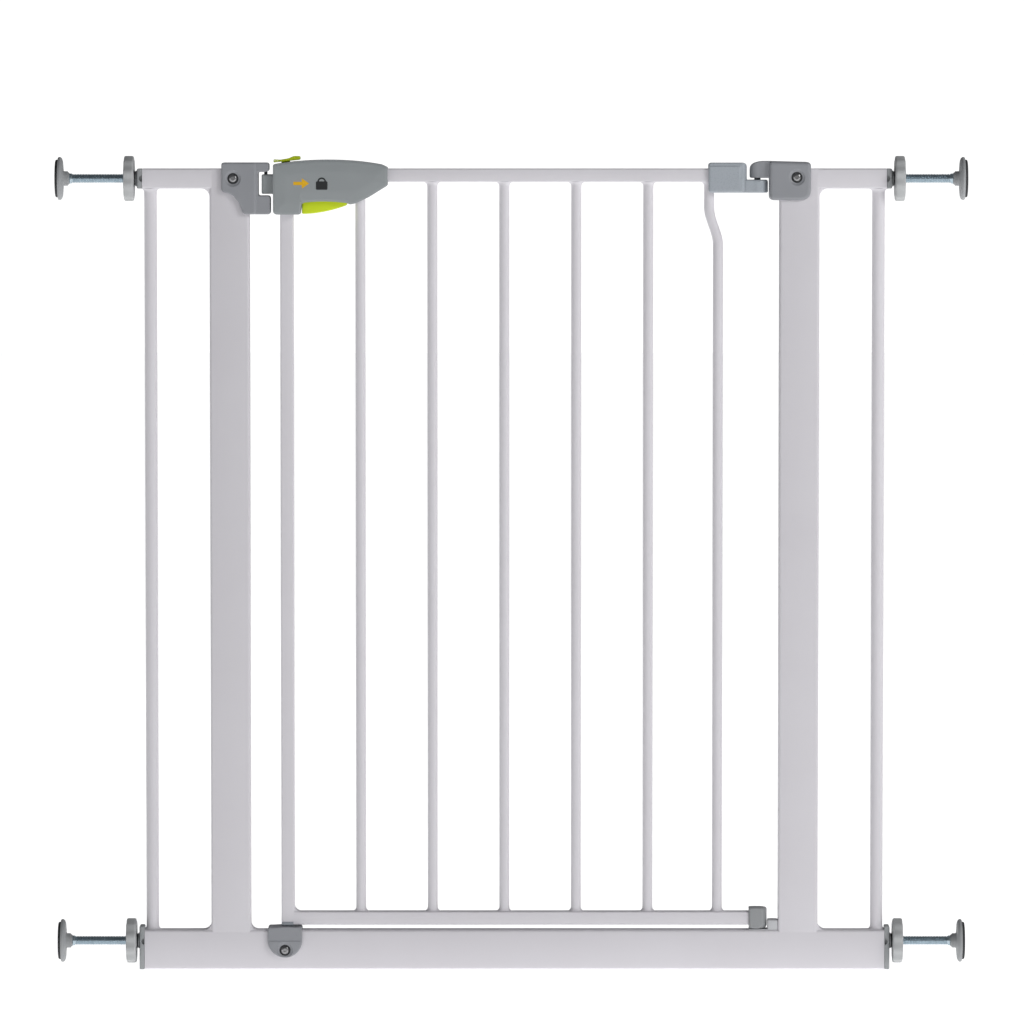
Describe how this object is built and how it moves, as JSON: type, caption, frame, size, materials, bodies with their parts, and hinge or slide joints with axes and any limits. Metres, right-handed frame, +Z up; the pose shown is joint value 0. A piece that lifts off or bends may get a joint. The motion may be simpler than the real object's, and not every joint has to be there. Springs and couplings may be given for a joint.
{
  "type": "stair gate",
  "caption": "Pressure-fit stair gate with a barred leaf that swings both ways, screw spindles with wall pads, and a slide-and-trigger latch.",
  "frame": {"origin": "middle of the base rail's underside, midway between the posts", "axes": "+X across the opening towards the hinge side, +Y away from the viewer through the opening, +Z up"},
  "size_m": [0.869, 0.0414, 0.779],
  "materials": {
    "powder_coated_steel": "white powder coat, fine orange peel, satin",
    "grey_plastic": "moulded mid grey, fine spark-eroded texture",
    "light_grey_plastic": "moulded light grey, satin",
    "hinge_grey_plastic": "moulded grey, semi-gloss",
    "lime_plastic": "moulded lime green, semi-gloss",
    "black_rubber": "moulded rubber, matte",
    "zinc_plated_steel": "zinc plated, blue passivated, threaded",
    "dark_steel": "blackened steel",
    "bright_steel": "bright zinc plated"
  },
  "bodies": {
    "frame": {"base_rail": "powder_coated_steel", "latch_post": "powder_coated_steel", "hinge_post": "powder_coated_steel", "left_top_stub_rail": "powder_coated_steel", "right_top_stub_rail": "powder_coated_steel", "left_outer_tube": "powder_coated_steel", "right_outer_tube": "powder_coated_steel", "end_plug_top_left": "grey_plastic", "end_plug_top_right": "grey_plastic", "end_plug_base_left": "grey_plastic", "end_plug_base_right": "grey_plastic", "keeper_bracket": "grey_plastic", "keeper_screw": "bright_steel", "bottom_strike": "grey_plastic", "strike_screw": "bright_steel", "post_hinge_bracket": "grey_plastic", "post_hinge_screw": "bright_steel", "top_hinge_pin": "dark_steel", "bottom_hinge_plate": "hinge_grey_plastic"},
    "leaf": {"leaf_stile": "powder_coated_steel", "leaf_top_rail": "powder_coated_steel", "leaf_bottom_rail": "powder_coated_steel", "leaf_bar_1": "powder_coated_steel", "leaf_bar_2": "powder_coated_steel", "leaf_bar_3": "powder_coated_steel", "leaf_bar_4": "powder_coated_steel", "leaf_bar_5": "powder_coated_steel", "leaf_bent_bar": "powder_coated_steel", "leaf_hinge_bracket": "hinge_grey_plastic", "bottom_hinge_shoe": "hinge_grey_plastic", "stile_end_plug": "hinge_grey_plastic", "housing_front": "grey_plastic", "housing_rear": "grey_plastic", "housing_screw_1": "bright_steel", "housing_screw_2": "bright_steel", "trigger_pin": "dark_steel", "rocker_pin": "dark_steel", "spring_bush": "grey_plastic", "rod_spring": "bright_steel"},
    "trigger": {"trigger": "lime_plastic"},
    "bolt_rod": {"bolt_rod": "zinc_plated_steel"},
    "rocker": {"rocker": "dark_steel"},
    "top_bolt": {"top_bolt": "dark_steel"},
    "slide_lock": {"slide_lock": "lime_plastic"},
    "hand_nut_top_left": {"hand_nut_top_left": "light_grey_plastic"},
    "spindle_top_left": {"spindle_top_left": "zinc_plated_steel", "pad_cup_top_left": "grey_plastic", "pad_rubber_top_left": "black_rubber"},
    "hand_nut_base_left": {"hand_nut_base_left": "light_grey_plastic"},
    "spindle_base_left": {"spindle_base_left": "zinc_plated_steel", "pad_cup_base_left": "grey_plastic", "pad_rubber_base_left": "black_rubber"},
    "hand_nut_top_right": {"hand_nut_top_right": "light_grey_plastic"},
    "spindle_top_right": {"spindle_top_right": "zinc_plated_steel", "pad_cup_top_right": "grey_plastic", "pad_rubber_top_right": "black_rubber"},
    "hand_nut_base_right": {"hand_nut_base_right": "light_grey_plastic"},
    "spindle_base_right": {"spindle_base_right": "zinc_plated_steel", "pad_cup_base_right": "grey_plastic", "pad_rubber_base_right": "black_rubber"}
  },
  "joints": [
    {"name": "gate_swing", "type": "hinge", "parent": "frame", "child": "leaf", "pos_m": [0.2315, 0, 0.757], "axis": [0, 0, 1], "range_deg": [-90, 90]},
    {"name": "bolt_rod_lift", "type": "slide", "parent": "leaf", "child": "bolt_rod", "axis": [0, 0, 1], "range_m": [0, 0.0059], "stiffness_N_per_m": 300, "springref_m": -0.01, "deforming": ["rod_spring"]},
    {"name": "trigger_pull", "type": "hinge", "parent": "leaf", "child": "trigger", "pos_m": [-0.161, 0, 0.739], "axis": [0, 1, 0], "range_deg": [0, 6.1]},
    {"name": "rocker_turn", "type": "hinge", "parent": "leaf", "child": "rocker", "pos_m": [-0.227, 0, 0.75275], "axis": [0, -1, 0], "range_deg": [0, 34.4]},
    {"name": "top_bolt_drop", "type": "slide", "parent": "leaf", "child": "top_bolt", "axis": [0, 0, -1], "range_m": [0, 0.0059]},
    {"name": "slide_lock_shift", "type": "slide", "parent": "leaf", "child": "slide_lock", "axis": [1, 0, 0], "range_m": [0, 0.008], "stiffness_N_per_m": 150, "springref_m": -0.01},
    {"name": "spindle_slide_top_left", "type": "slide", "parent": "frame", "child": "spindle_top_left", "axis": [-1, 0, 0], "range_m": [-0.048, 0.0075]},
    {"name": "nut_turn_top_left", "type": "hinge", "parent": "frame", "child": "hand_nut_top_left", "pos_m": [-0.367, 0, 0.7575], "axis": [1, 0, 0], "range_deg": [-11525, 1805]},
    {"name": "spindle_slide_base_left", "type": "slide", "parent": "frame", "child": "spindle_base_left", "axis": [-1, 0, 0], "range_m": [-0.048, 0.0075]},
    {"name": "nut_turn_base_left", "type": "hinge", "parent": "frame", "child": "hand_nut_base_left", "pos_m": [-0.367, 0, 0.027], "axis": [1, 0, 0], "range_deg": [-11525, 1805]},
    {"name": "spindle_slide_top_right", "type": "slide", "parent": "frame", "child": "spindle_top_right", "axis": [1, 0, 0], "range_m": [-0.042, 0.0135]},
    {"name": "nut_turn_top_right", "type": "hinge", "parent": "frame", "child": "hand_nut_top_right", "pos_m": [0.367, 0, 0.7575], "axis": [-1, 0, 0], "range_deg": [-10085, 3245]},
    {"name": "spindle_slide_base_right", "type": "slide", "parent": "frame", "child": "spindle_base_right", "axis": [1, 0, 0], "range_m": [-0.042, 0.0135]},
    {"name": "nut_turn_base_right", "type": "hinge", "parent": "frame", "child": "hand_nut_base_right", "pos_m": [0.367, 0, 0.027], "axis": [-1, 0, 0], "range_deg": [-10085, 3245]}
  ],
  "couplings": [
    {"joint": "trigger_pull", "follows": "bolt_rod_lift", "rad_per_m": 17.99},
    {"joint": "rocker_turn", "follows": "bolt_rod_lift", "rad_per_m": 101.5},
    {"joint": "top_bolt_drop", "follows": "bolt_rod_lift", "ratio": 1},
    {"joint": "nut_turn_top_left", "follows": "spindle_slide_top_left", "rad_per_m": 4188.8},
    {"joint": "nut_turn_base_left", "follows": "spindle_slide_base_left", "rad_per_m": 4188.8},
    {"joint": "nut_turn_top_right", "follows": "spindle_slide_top_right", "rad_per_m": 4188.8},
    {"joint": "nut_turn_base_right", "follows": "spindle_slide_base_right", "rad_per_m": 4188.8}
  ]
}
